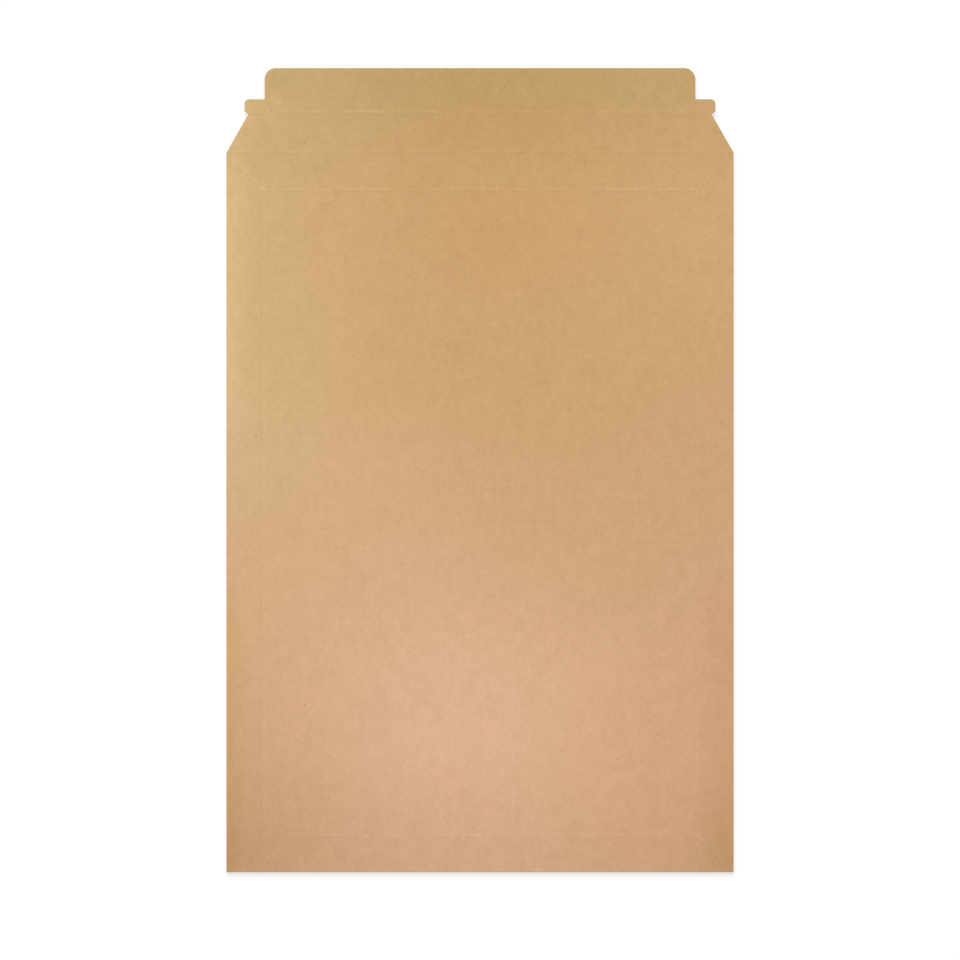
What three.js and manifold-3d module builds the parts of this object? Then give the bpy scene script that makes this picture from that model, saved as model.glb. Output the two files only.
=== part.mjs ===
// Expandable book mailer in brown micro-flute board, lying flat and empty with its flap open.
//
// The pocket is one folded and glued board. The back panel lies on top, the bottom fold carries
// the board round to the front panel underneath, and a lap at each side folds in from the back
// panel and is glued to the inside of the front panel. The mouth is at the flap's end.
// The closure flap runs on from the back panel: shoulders that narrow, a tear band whose ends
// stand out as pull tabs, and a glue lip. A tear tape, an adhesive strip and its release liner
// are on the flap's inner face. Creases near all four edges let both panels bulge when filled.
//
// Millimetres. The origin is the centre of the front panel's outer face, on which the mailer
// lies. +X runs across the mailer, +Y along it towards the flap, and +Z up.

import * as THREE from "three";
import { mergeVertices } from "three/addons/utils/BufferGeometryUtils.js";
import Module from "manifold-3d";

// Board
const BOARD = 1.5;
const LAP_SLIT = 0.3; // between a folded lap and the back panel above it
const GLUE_BITE = 0.05; // how far a glued lap is pressed into the front panel

// Pocket
const POCKET_WIDTH = 335;
const POCKET_LENGTH = 476; // bottom fold to the flap's fold line
const LAP_WIDTH = 20;
const LAP_START = 1.5; // from the flat end of the bottom fold to the laps
const LAP_END_SLANT = 9; // how much shorter a lap is at each end of its free edge
const FRONT_INSET = 0.8; // front panel's side edges, in from the pocket's sides
const MOUTH_STEP = 3; // mouth end of the front panel and laps, back from the fold line

// Creases, pressed from the inside: a low ridge outside over a groove of the same form
const SIDE_CREASE = 24; // from each side of the pocket
const END_CREASE = 25; // from the bottom fold and from the flap's fold line
const CREASE_WIDTH = 2.4;
const CREASE_TOP_WIDTH = 0.8;
const CREASE_HEIGHT = 0.25;
const CORNER_CREASE_HEIGHT = 0.2; // of the slanting creases at the panel's corners
const CORNER_CREASE_STOP = 5; // how far in from the pocket's side a slanting crease ends

// Closure flap, with heights measured from its fold line
const FOLD_GAP = 0.3; // between the back panel and the flap at the fold line
const TAPER_START = 0.7; // the sides begin to narrow this far before the fold line
const SHOULDER_HEIGHT = 24.6;
const NOTCH_WIDTH = 306; // across the notches between the shoulders and the pull tabs
const NOTCH_RISE = 1.5; // from a notch to the lower corner of its pull tab
const BAND_WIDTH = 311; // across the pull tabs
const BAND_HEIGHT = 8.4;
const TAB_LOWER_RADIUS = 0.9;
const TAB_UPPER_RADIUS = 3;
const LIP_WIDTH = 284.5;
const LIP_HEIGHT = 20.6;
const LIP_RADIUS = 7.4;

// Starter cuts at each end of the tear band
const CUT_WIDTH = 0.3;
const LOWER_CUT_LENGTH = 15; // in from the notch
const NICK_LENGTH = 4; // up from the inner end of the lower cut
const NICK_LEAN = 1.2; // how far the nick's top leans towards the tab
const CUT_TO_CREASE = 1; // from the lower cut's inner end to the lip's crease
const UPPER_CUT_LENGTH = 8;
const UPPER_CUT_INSET = 4; // outer end, in from the glue lip's side
const UPPER_CUT_DROP = 0.7; // outer end, below the band's upper edge
const UPPER_CUT_FALL = 2.6; // how much lower the inner end is

// Strips on the flap's inner face
const TAPE_WIDTH = 6;
const TAPE_THICKNESS = 0.15;
const TAPE_END_MARGIN = 0.5; // from the end of each pull tab
const ADHESIVE_WIDTH = 12;
const ADHESIVE_THICKNESS = 0.2;
const ADHESIVE_END_MARGIN = 7; // from the sides of the glue lip
const LINER_THICKNESS = 0.12;
const LINER_OVERHANG = 1.5; // past each long side of the adhesive
const LINER_END_OVERHANG = 3; // past each end of the adhesive, to lift it by
const CLOSED_CLEARANCE = 0.3; // between the liner and the front panel's creases, flap closed

const ARC_STEPS = 8; // flat facets to a fold's half turn or a rounded corner

// Worked-out sizes
const POCKET_THICKNESS = 3 * BOARD + LAP_SLIT;
const HALF_WIDTH = POCKET_WIDTH / 2;
const FOLD_Y = POCKET_LENGTH / 2;
const BOTTOM_Y = -POCKET_LENGTH / 2;
const BOTTOM_RADIUS = POCKET_THICKNESS / 2;
const LAP_Y = BOTTOM_Y + BOTTOM_RADIUS + LAP_START;
const SIDE_RADIUS = BOARD + LAP_SLIT / 2;
const MOUTH_Y = FOLD_Y - MOUTH_STEP;
const INNER_Z = POCKET_THICKNESS - BOARD; // inner face of the back panel and of the flap
const TAPER = (POCKET_WIDTH - NOTCH_WIDTH) / 2 / (SHOULDER_HEIGHT + TAPER_START);
const NOTCH_Y = FOLD_Y + SHOULDER_HEIGHT;
const BAND_Y = NOTCH_Y + NOTCH_RISE;
const LIP_Y = BAND_Y + BAND_HEIGHT;
const TOP_Y = LIP_Y + LIP_HEIGHT;

const wasm = await Module();
wasm.setup();

// A closed geometry as a solid for joining and cutting.
function solid(geometry) {
  const bare = geometry.clone();
  bare.deleteAttribute("normal");
  bare.deleteAttribute("uv");
  const merged = mergeVertices(bare);
  return new wasm.Manifold(
    new wasm.Mesh({
      numProp: 3,
      vertProperties: merged.attributes.position.array,
      triVerts: new Uint32Array(merged.index.array),
    }),
  );
}

function named(name, body, material) {
  const made = body.getMesh();
  const geometry = new THREE.BufferGeometry();
  geometry.setAttribute("position", new THREE.BufferAttribute(made.vertProperties, 3));
  geometry.setIndex(new THREE.BufferAttribute(made.triVerts, 1));
  geometry.computeVertexNormals();
  const mesh = new THREE.Mesh(geometry, material);
  mesh.name = name;
  return mesh;
}

// An outline of [u, v] points, extruded along the third of the given axes from the origin.
function prism(outline, depth, uAxis, vAxis, alongAxis, origin) {
  const shape = new THREE.Shape(outline.map(([u, v]) => new THREE.Vector2(u, v)));
  const geometry = new THREE.ExtrudeGeometry(shape, { depth, bevelEnabled: false });
  const placing = new THREE.Matrix4().makeBasis(uAxis, vAxis, alongAxis).setPosition(origin);
  return solid(geometry.applyMatrix4(placing));
}

const X = new THREE.Vector3(1, 0, 0);
const Y = new THREE.Vector3(0, 1, 0);
const Z = new THREE.Vector3(0, 0, 1);

const prismAlongX = (yz, x0, x1) => prism(yz, x1 - x0, Y, Z, X, new THREE.Vector3(x0, 0, 0));
const prismAlongY = (zx, y0, y1) => prism(zx, y1 - y0, Z, X, Y, new THREE.Vector3(0, y0, 0));
const prismAlongZ = (xy, z0, z1) => prism(xy, z1 - z0, X, Y, Z, new THREE.Vector3(0, 0, z0));

function block(x0, x1, y0, y1, z0, z1) {
  const plan = [
    [x0, y0],
    [x1, y0],
    [x1, y1],
    [x0, y1],
  ];
  return prismAlongZ(plan, z0, z1);
}

// Points of an arc about [u, v], from one angle to another in degrees.
function arc(u, v, radius, from, to) {
  return Array.from({ length: ARC_STEPS + 1 }, (_, i) => {
    const angle = THREE.MathUtils.degToRad(from + ((to - from) * i) / ARC_STEPS);
    return [u + radius * Math.cos(angle), v + radius * Math.sin(angle)];
  });
}

// Direction to the left of a plan line at one of its points, stretched there to mitre the corner.
function mitre(points, i, loop) {
  const count = points.length;
  const first = loop || i > 0 ? i - 1 : i;
  const last = loop || i < count - 1 ? i : i - 1;
  const normals = [first, last].map((k) => {
    const along = points[(k + 1) % count].clone().sub(points[(k + count) % count]).normalize();
    return new THREE.Vector2(-along.y, along.x);
  });
  const sum = normals[0].clone().add(normals[1]);
  return sum.divideScalar(1 + normals[0].dot(normals[1]));
}

// A body swept along a plan line of [x, y] points with mitred corners. Its section is a convex
// outline of [leftwards, z] points, anticlockwise for someone the line runs towards.
function bead(line, section, loop = false) {
  const points = line.map(([x, y]) => new THREE.Vector2(x, y));
  const sides = section.length;
  const spans = loop ? points.length : points.length - 1;
  const vertices = points.flatMap((point, i) => {
    const left = mitre(points, i, loop);
    return section.flatMap(([across, z]) => [point.x + left.x * across, point.y + left.y * across, z]);
  });
  const faces = [];
  for (let i = 0; i < spans; i++) {
    const here = i * sides;
    const next = ((i + 1) % points.length) * sides;
    for (let j = 0; j < sides; j++) {
      const k = (j + 1) % sides;
      faces.push(here + j, here + k, next + k, here + j, next + k, next + j);
    }
  }
  const lastRing = (points.length - 1) * sides;
  for (let j = 1; j < sides - 1 && !loop; j++) {
    faces.push(0, j + 1, j, lastRing, lastRing + j, lastRing + j + 1);
  }
  const geometry = new THREE.BufferGeometry();
  geometry.setAttribute("position", new THREE.Float32BufferAttribute(vertices, 3));
  geometry.setIndex(faces);
  return solid(geometry);
}

const mirrored = ([x, y]) => [-x, y];
const mirrorX = (body) => body.scale([-1, 1, 1]);
const mirrorY = (body) => body.scale([1, -1, 1]);

// A crease's section on the face at height z, which looks up where outward is 1 and down at -1.
function creaseSection(z, outward, height) {
  const base = CREASE_WIDTH / 2;
  const top = CREASE_TOP_WIDTH / 2;
  return [
    [-base * outward, z],
    [base * outward, z],
    [top * outward, z + outward * height],
    [-top * outward, z + outward * height],
  ];
}

// The rectangle of creases that a panel bulges along.
function expansionCrease(z, outward) {
  const x = HALF_WIDTH - SIDE_CREASE;
  const y = FOLD_Y - END_CREASE;
  const corners = [
    [-x, -y],
    [x, -y],
    [x, y],
    [-x, y],
  ];
  return bead(corners, creaseSection(z, outward, CREASE_HEIGHT), true);
}

// The slanting creases from that rectangle's corners towards the corners of the panel.
function cornerCreases(z, outward) {
  const start = [HALF_WIDTH - SIDE_CREASE, FOLD_Y - END_CREASE];
  const length = (SIDE_CREASE - CORNER_CREASE_STOP) / SIDE_CREASE;
  const stop = [start[0] + SIDE_CREASE * length, start[1] + END_CREASE * length];
  const upper = bead([start, stop], creaseSection(z, outward, CORNER_CREASE_HEIGHT));
  const right = upper.add(mirrorY(upper));
  return right.add(mirrorX(right));
}

// Back panel, bottom fold and front panel, from the mouth edge round to the flap's fold line.
function wrappedPanels() {
  const centre = [BOTTOM_Y + BOTTOM_RADIUS, BOTTOM_RADIUS];
  const outside = arc(...centre, BOTTOM_RADIUS, 90, 270);
  const inside = arc(...centre, BOTTOM_RADIUS - BOARD, 270, 90);
  const section = [
    [FOLD_Y, INNER_Z],
    [FOLD_Y, POCKET_THICKNESS],
    ...outside,
    [MOUTH_Y, 0],
    [MOUTH_Y, BOARD],
    ...inside,
  ];
  return prismAlongX(section, -HALF_WIDTH, HALF_WIDTH);
}

// The lap on the right, with the fold that joins it to the back panel.
function rightLap() {
  const foldX = HALF_WIDTH - SIDE_RADIUS;
  const foldZ = POCKET_THICKNESS - SIDE_RADIUS;
  const freeX = HALF_WIDTH - LAP_WIDTH;
  const fold = [
    ...arc(foldZ, foldX, SIDE_RADIUS, 180, 0),
    ...arc(foldZ, foldX, LAP_SLIT / 2, 0, 180),
  ];
  const plan = [
    [foldX, LAP_Y],
    [foldX, MOUTH_Y],
    [freeX, MOUTH_Y - LAP_END_SLANT],
    [freeX, LAP_Y + LAP_END_SLANT],
  ];
  return prismAlongY(fold, LAP_Y, MOUTH_Y).add(prismAlongZ(plan, BOARD - GLUE_BITE, 2 * BOARD));
}

// What the corners beside the fold line lose, so that they carry on the shoulders' taper.
function rightCornerCut() {
  const plan = [
    [HALF_WIDTH, FOLD_Y - TAPER_START],
    [HALF_WIDTH, FOLD_Y],
    [HALF_WIDTH - TAPER * TAPER_START, FOLD_Y],
  ];
  return prismAlongZ(plan, INNER_Z, POCKET_THICKNESS);
}

function pocketBoard() {
  const foldX = HALF_WIDTH - SIDE_RADIUS;
  const insetX = HALF_WIDTH - FRONT_INSET;
  const squareEdge = block(foldX, HALF_WIDTH, LAP_Y, MOUTH_Y, INNER_Z, POCKET_THICKNESS);
  const frontSliver = block(insetX, HALF_WIDTH, LAP_Y, MOUTH_Y, 0, BOARD);
  const cuts = squareEdge.add(frontSliver).add(rightCornerCut());
  const panels = wrappedPanels().subtract(cuts).subtract(mirrorX(cuts));
  const folded = panels.add(rightLap()).add(mirrorX(rightLap()));
  const backRidges = expansionCrease(POCKET_THICKNESS, 1).add(cornerCreases(POCKET_THICKNESS, 1));
  const backGrooves = expansionCrease(INNER_Z, 1).add(cornerCreases(INNER_Z, 1));
  const frontRidges = expansionCrease(0, -1).add(cornerCreases(0, -1));
  const frontGroove = expansionCrease(BOARD, -1);
  return folded.add(backRidges).add(frontRidges).subtract(backGrooves).subtract(frontGroove);
}

// Right half of the flap's outline, from the fold line up to the top of the glue lip.
function rightFlapOutline() {
  const tabX = BAND_WIDTH / 2;
  const lipX = LIP_WIDTH / 2;
  return [
    [HALF_WIDTH - TAPER * (TAPER_START + FOLD_GAP), FOLD_Y + FOLD_GAP],
    [NOTCH_WIDTH / 2, NOTCH_Y],
    ...arc(tabX - TAB_LOWER_RADIUS, BAND_Y + TAB_LOWER_RADIUS, TAB_LOWER_RADIUS, -45, 0),
    ...arc(tabX - TAB_UPPER_RADIUS, LIP_Y - TAB_UPPER_RADIUS, TAB_UPPER_RADIUS, 0, 90),
    [lipX, LIP_Y],
    ...arc(lipX - LIP_RADIUS, TOP_Y - LIP_RADIUS, LIP_RADIUS, 0, 90),
  ];
}

// Starter cuts right through the board at the right end of the tear band.
function rightStarterCuts() {
  const section = [
    [-CUT_WIDTH / 2, INNER_Z - BOARD],
    [CUT_WIDTH / 2, INNER_Z - BOARD],
    [CUT_WIDTH / 2, POCKET_THICKNESS + BOARD],
    [-CUT_WIDTH / 2, POCKET_THICKNESS + BOARD],
  ];
  const outside = [BAND_WIDTH / 2, NOTCH_Y];
  const corner = [NOTCH_WIDTH / 2 - LOWER_CUT_LENGTH, BAND_Y];
  const nickTop = [corner[0] + NICK_LEAN, corner[1] + NICK_LENGTH];
  const upperOuter = [LIP_WIDTH / 2 - UPPER_CUT_INSET, LIP_Y - UPPER_CUT_DROP];
  const upperInner = [upperOuter[0] - UPPER_CUT_LENGTH, upperOuter[1] - UPPER_CUT_FALL];
  return bead([outside, corner, nickTop], section).add(bead([upperOuter, upperInner], section));
}

function closureFlap() {
  const right = rightFlapOutline();
  const left = right.map(mirrored).reverse();
  const plain = prismAlongZ([...right, ...left], INNER_Z, POCKET_THICKNESS);
  const creaseX = NOTCH_WIDTH / 2 - LOWER_CUT_LENGTH - CUT_TO_CREASE;
  const lipCrease = [
    [-creaseX, BAND_Y],
    [creaseX, BAND_Y],
  ];
  const ridge = bead(lipCrease, creaseSection(POCKET_THICKNESS, 1, CREASE_HEIGHT));
  const groove = bead(lipCrease, creaseSection(INNER_Z, 1, CREASE_HEIGHT));
  const cuts = rightStarterCuts();
  return plain.add(ridge).subtract(groove).subtract(cuts).subtract(mirrorX(cuts));
}

// A strip across the flap's inner face, centred at height y, with its upper face at z.
function strip(halfLength, y, width, z, thickness) {
  return block(-halfLength, halfLength, y - width / 2, y + width / 2, z - thickness, z);
}

const card = new THREE.MeshStandardMaterial({ color: 0xd0a87c, roughness: 0.9, metalness: 0 });
const tape = new THREE.MeshStandardMaterial({ color: 0xb98a55, roughness: 0.45, metalness: 0 });
const glue = new THREE.MeshStandardMaterial({ color: 0xe6dcc2, roughness: 0.35, metalness: 0 });
const paper = new THREE.MeshStandardMaterial({ color: 0xf0ece2, roughness: 0.6, metalness: 0 });

const bandMiddle = BAND_Y + BAND_HEIGHT / 2;
const lipMiddle = LIP_Y + LIP_HEIGHT / 2;
const adhesiveHalf = LIP_WIDTH / 2 - ADHESIVE_END_MARGIN;
const linerWidth = ADHESIVE_WIDTH + 2 * LINER_OVERHANG;
const linerHalf = adhesiveHalf + LINER_END_OVERHANG;
const linerZ = INNER_Z - ADHESIVE_THICKNESS;

const tearTape = strip(
  BAND_WIDTH / 2 - TAPE_END_MARGIN,
  bandMiddle,
  TAPE_WIDTH,
  INNER_Z,
  TAPE_THICKNESS,
);
const adhesive = strip(adhesiveHalf, lipMiddle, ADHESIVE_WIDTH, INNER_Z, ADHESIVE_THICKNESS);
const liner = strip(linerHalf, lipMiddle, linerWidth, linerZ, LINER_THICKNESS);

const flap = new THREE.Group();
flap.add(
  named("closure_flap", closureFlap(), card),
  named("tear_tape", tearTape, tape),
  named("adhesive_strip", adhesive, glue),
  named("release_liner", liner, paper),
);

// Height and place of the line about which the flap folds, halfway between the open flap and the
// place where it comes to lie under the front panel.
const closedGap = CREASE_HEIGHT + ADHESIVE_THICKNESS + LINER_THICKNESS + CLOSED_CLEARANCE;
flap.userData.foldAxis = { y: FOLD_Y, z: (INNER_Z - closedGap) / 2 };

const mailer = new THREE.Group();
mailer.add(named("pocket_board", pocketBoard(), card), flap);

export default mailer;
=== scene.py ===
"""An expandable book mailer in brown micro-flute board, lying flat and empty with its flap open.

The board is built as a folded sheet. Each piece is laid out in the flat, in the plan of the blank,
and mapped to its folded place, so that skins, cut edges and texture run on round the folds.
Sizes are in millimetres here, and in metres in the meshes.
"""

import math
from collections import namedtuple

import bpy
import numpy as np
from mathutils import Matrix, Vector
from mathutils.geometry import delaunay_2d_cdt


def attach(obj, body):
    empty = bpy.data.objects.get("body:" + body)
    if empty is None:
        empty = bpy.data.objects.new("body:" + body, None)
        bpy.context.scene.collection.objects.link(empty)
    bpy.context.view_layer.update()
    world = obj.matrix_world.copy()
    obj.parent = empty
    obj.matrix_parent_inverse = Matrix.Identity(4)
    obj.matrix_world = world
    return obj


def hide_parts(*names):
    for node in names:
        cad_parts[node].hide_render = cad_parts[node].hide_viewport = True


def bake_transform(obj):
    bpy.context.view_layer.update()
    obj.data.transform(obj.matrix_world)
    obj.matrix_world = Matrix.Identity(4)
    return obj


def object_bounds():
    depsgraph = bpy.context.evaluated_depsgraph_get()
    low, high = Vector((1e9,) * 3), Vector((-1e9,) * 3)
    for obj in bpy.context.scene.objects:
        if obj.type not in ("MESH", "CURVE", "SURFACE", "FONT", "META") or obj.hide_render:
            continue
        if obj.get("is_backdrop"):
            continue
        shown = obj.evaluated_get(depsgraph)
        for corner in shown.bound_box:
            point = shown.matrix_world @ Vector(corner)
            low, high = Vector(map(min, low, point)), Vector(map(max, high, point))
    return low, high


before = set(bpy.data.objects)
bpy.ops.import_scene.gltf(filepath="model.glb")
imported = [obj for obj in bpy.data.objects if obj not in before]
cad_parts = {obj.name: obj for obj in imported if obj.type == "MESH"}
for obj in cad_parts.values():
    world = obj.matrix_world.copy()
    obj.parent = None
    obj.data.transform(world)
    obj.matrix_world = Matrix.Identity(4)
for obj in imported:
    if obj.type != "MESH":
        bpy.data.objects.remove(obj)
cad_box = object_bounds()

# Board and pocket
BOARD = 1.5
HALF_WIDTH = 167.5
BACK_Z = 3.3  # inner face of the back panel and of the flap
BOTTOM_FLAT_Y = -235.6  # where the panels' flat parts start beside the bottom fold
BOTTOM_INNER_RADIUS = 0.9
BOTTOM_ARC = math.pi * (BOTTOM_INNER_RADIUS + BOARD / 2)
BOTTOM_SQUARENESS = 8.0
SIDE_FLAT_X = 165.85  # where the back panel's flat part ends beside a lap's fold
SIDE_INNER_RADIUS = 0.15
SIDE_ARC = math.pi * (SIDE_INNER_RADIUS + BOARD / 2)
SIDE_SQUARENESS = 4.0
LAP_Y = -234.1
MOUTH_Y = 235.0
LAP_REACH = 18.35
LAP_FOLD_INSET = 0.25  # how much shorter a lap is at each end, just past its fold
LAP_END_SLANT = 9.0
LAP_ROW_INSET = 0.6  # keeps the rows of points in a side fold off the slits at its ends
FRONT_HALF_WIDTH = 166.7
FRONT_STEP = 1.5  # from the bottom fold to where the front panel narrows
FRONT_V = BOTTOM_FLAT_Y - BOTTOM_ARC  # where the front panel starts in the blank
FRONT_CENTRE_V = FRONT_V + BOTTOM_FLAT_Y

# Fold strip and flap
STRIP_START = 235.2
STRIP_END = 240.8
TAPER = 0.573
TAPER_START_Y = 237.3
NOTCH = (153.0, 262.6)
TAB_X = 155.5
TAB_Y = 264.1
TAB_LOWER_RADIUS = 0.9
TAB_UPPER_RADIUS = 3
LIP_Y = 272.5
LIP_X = 142.25
LIP_RADIUS = 7.4
TOP_Y = 293.1

# Creases and cuts
CREASE_X = 143.5
UPPER_CREASE_Y = 212.5
LOWER_CREASE_Y = -214.1
FRONT_CREASE_REACH = 213  # from the middle of the front panel to its upper and lower crease
FOLD_CREASE_Y = 237.5
LIP_CREASE_Y = 263.8
LIP_CREASE_END = 137
CREASE_HALF = 2.0
CREASE_LINES = (-1.3, -1.0, -0.62, -0.3, 0.0, 0.3, 0.62, 1.0, 1.3)  # rows of points, in halves
WAVES = (7.3, 11.0, 19.0, 41.0, 83.0)  # spans over which a crease grows stronger and weaker
WAVE_PEAK = 2.4  # sum of the waves at which it is at its strongest
CORNER_END = (162.5, 232.8)
CUTS = (((152.2, 262.3), (137.9, 262.5), 1.0), ((137.9, 262.5), (138.8, 266.7), 1.5))
CUT_SIDES = ((-1, 0.1, -0.15), (1, 0.07, -0.08))  # side, half width and depth
CUT_LINES = (-3, -1, 0, 1, 3)  # rows of points along a cut, in halves
CUT_STEP = 1.2
CUT_BACK = 0.15  # how far a cut stands in on the inner face

# Slow waves of the panels and of the lip
SWAY_HALF_X, SWAY_FADE_X = 150, 60  # the panels wave only within their creases
SWAY_ENDS_Y = (-225, -150)
SAG, SAG_WAVE = 0.35, 0.15
FRONT_WAVE = 0.12
HANG, HANG_WAVE = 0.12, 0.1

# Strips on the flap's inner face, with the heights of their lower faces
TAPE_Y, TAPE_Z = 268.3, 3.15
GLUE_Y, GLUE_Z = 282.8, 3.1
LINER_Z = 2.98
BAND_EDGE, BAND_EDGE_SHARE = 0.35, 0.08  # how wide a softened edge is, at most
BAND_EDGE_DROP = 0.25  # how far it is let in, as a share of the thickness
BAND_CURL = 14  # how far from its ends the liner lifts away

# Fluting seen at the cut edges
PITCH = 3.4
LINER = 0.22
MEDIUM = 0.2
FLUTE_SKEW = 0.02
STATIONS = 8  # to a flute
STATION_MARGIN = 0.15  # least distance of a station from an edge's end, in stations
SHARP = 0.55  # a corner of the outline that turns more than this is sharp (radians)
FLUTE_STRAY = 0.04  # how far the flutes stray from straight lines, in flutes
FLUTE_CRUSH = 0.12  # share of its height that a flute loses where it is pressed
HOLLOW, HOLLOW_MORE = 1, 4  # depth of the hollows, and how much deeper across the flutes
TURN_ROOM, CORNER_ROOM = 0.7, 0.6  # shares of the room near a corner that a hollow takes
SHALLOWEST = 0.12  # a hollow less deep than this is left out,
THINNEST = 0.03  # and so is one that would be less high than this

# Meshes
EDGE_SPACING = 7.0
POCKET_SPACING, STRIP_SPACING, FLAP_SPACING = 8.0, 30.0, 6.0  # of the loose points
JITTER = 0.18
CLEARANCE = 0.45  # least distance of a loose point from a line, in spacings
JOINT_COLUMNS = 57  # points across the rows on which two sheets meet or a sheet folds
BOTTOM_STEPS = 24
SIDE_STEPS = 10
LAP_ROWS = 68
STRIP_ROWS = 15
BAND_STEP = 2.5
NEAR = 1e-3  # places closer than this are the same
OUTER, INNER, CUT = range(3)  # the board's materials
SHEET_SHARP, BAND_SHARP = 34, 40  # degrees
SHADE_WEIGHTS = (0.8, 1.03, 1.36)  # brown board changes most in blue as it gets paler or deeper

# Floor, light and camera, in metres and degrees
FLOOR_Z = -0.00025
FLOOR_RADIUS = 3.0
FLOOR_SIDES = 96
FLOOR_ALBEDO = 0.42
FLOOR_WHITE = 1.035
AMBIENT = 0.36
BOUNCE = 0.7  # light from below, as from a white studio floor
HORIZON = 0.02
KEY = 2.27
KEY_ANGLE = 50
KEY_TOWARDS = (-0.1, 0.53, 0.848)
SEEN = ("Is Camera Ray", "Is Glossy Ray", "Is Transmission Ray")
CAMERA_HEIGHT = 3.0
VIEW_Y = 0.02106
VIEW_HALF_WIDTH = 0.317  # at the height of the back panel

MM = 0.001
rng = np.random.default_rng(7)

Column = namedtuple(
    "Column", "top crest trough bottom inner_top inner_crest inner_trough inner_bottom"
)


def srgb(r, g, b):
    """A linear colour from 8-bit display values."""
    out = []
    for level in (r, g, b):
        c = level / 255
        out.append(c / 12.92 if c <= 0.04045 else ((c + 0.055) / 1.055) ** 2.4)
    return (*out, 1.0)


def smooth(x, low, high):
    """0 below the low value and 1 above the high one, with a soft step between them."""
    t = np.clip((x - low) / (high - low), 0, 1)
    return t * t * (3 - 2 * t)


# Relief of the panels


class Crease:
    """A pressed line from p to q in the blank, stronger in some places than in others.

    The colour is painted paler on the line's left and darker on its right where the tone is
    positive, as painted shading of the crease's slopes, and paler along its top (crown), partly
    burnished paper and partly a painted highlight on the crest. The strength never falls under the
    floor, fades out
    near the ends, and may have an accent: where along the line it is, how far it reaches and how
    much stronger it is.
    """

    def __init__(
        self, p, q, height, seed, half=CREASE_HALF, fade=(0, 0), floor=0.25, accent=None,
        tone=0.0, crown=0.0, step=1.7,
    ):
        self.p, self.q = np.array(p, float), np.array(q, float)
        self.length = float(np.linalg.norm(self.q - self.p))
        self.along = (self.q - self.p) / self.length
        self.height, self.half, self.fade, self.floor = height, half, fade, floor
        self.accent, self.tone, self.crown, self.step = accent, tone, crown, step
        self.phases = np.random.default_rng(seed).uniform(0, 2 * math.pi, len(WAVES))

    def offset(self, distance):
        """Points along a line beside the crease, to its left."""
        side = np.array([-self.along[1], self.along[0]]) * distance
        count = max(2, int(self.length / self.step))
        return [self.p + side + self.along * self.length * i / count for i in range(count + 1)]

    def strength(self, s):
        """How strong the crease is at distances along it."""
        wave = sum(
            np.sin(s * 2 * math.pi / span + phase) for span, phase in zip(WAVES, self.phases)
        )
        strength = self.floor + (1 - self.floor) * smooth(wave, -WAVE_PEAK, WAVE_PEAK)
        for k, fade in enumerate(self.fade):
            if fade > 0:
                reach = s if k == 0 else self.length - s
                strength = strength * smooth(reach, 0, fade)
        if self.accent:
            middle, reach, gain = self.accent
            strength = strength * (1 + gain * smooth(reach - np.abs(s - middle), 0, reach * 0.4))
        return strength

    def measure(self, plan):
        """Over the plan: share of the half width, signed to the line's left, and strength."""
        rel = plan - self.p
        s = rel @ self.along
        across = rel[:, 1] * self.along[0] - rel[:, 0] * self.along[1]
        past = np.maximum(np.maximum(-s, s - self.length), 0)
        share = np.clip(np.hypot(across, past) / self.half, 0, 1)
        return share * np.where(across < 0, -1, 1), self.strength(s)

    def lift(self, plan):
        """How far the crease raises the board."""
        share, strength = self.measure(plan)
        return self.height * np.cos(share * math.pi / 2) ** 2 * strength

    def crease_shading_and_burnish(self, plan):
        """How much paler or darker the crease is painted: painted shading of its slopes, and on
        its crest a painted highlight over a little burnish.
        """
        share, strength = self.measure(plan)
        top = self.crown * np.cos(share * math.pi / 2) ** 2
        return (self.tone * np.sin(share * math.pi) + top) * strength


def panel_creases(upper_v, lower_v, presses, seed, step):
    """A panel's frame of creases and its corners; each press is (height, half, tone, crown)."""
    x, y = CREASE_X, (upper_v - lower_v) / 2
    cx, cy = CORNER_END
    middle = (upper_v + lower_v) / 2
    ends = [((-x, upper_v), (x, upper_v)), ((-x, lower_v), (x, lower_v))]
    ends += [((-x, lower_v), (-x, upper_v)), ((x, lower_v), (x, upper_v))]
    for sx, sy in ((-1, 1), (1, 1), (-1, -1), (1, -1)):
        ends.append(((sx * x, middle + sy * y), (sx * cx, middle + sy * cy)))
    found = []
    for i, ((p, q), (height, half, tone, crown)) in enumerate(zip(ends, presses)):
        corner = i > 3
        end_fade = 14 if tone < -0.1 else 4
        fade = (0, end_fade if corner else 0)
        found.append(
            Crease(p, q, height, seed + i, half, fade, tone=tone, crown=crown, step=step)
        )
    return found


# Tone and crown in each press paint light and shade along the crease: a paler and a darker side,
# and a paler top.
back_creases = panel_creases(
    UPPER_CREASE_Y,
    LOWER_CREASE_Y,
    (
        (0.24, 2.0, 0.012, 0.045),
        (0.16, 2.0, 0.004, 0.02),
        (-0.14, 1.8, -0.036, 0.004),
        (0.08, 1.7, 0.004, 0.028),
        (0.2, 1.8, -0.16, 0.035),
        (0.16, 1.5, 0.014, 0.004),
        (0.04, 1.5, 0.0, 0.0),
        (0.08, 2.2, 0.045, 0.045),
    ),
    seed=20,
    step=1.7,
)


def wrinkle(p, q, seed, crown, height=0.06, floor=0.6):
    """A small fold in the paper, paler along its top (crown), partly by burnish and partly by a
    painted highlight.
    """
    return Crease(p, q, height, seed, 0.8, (1, 1), floor, crown=crown)


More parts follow.
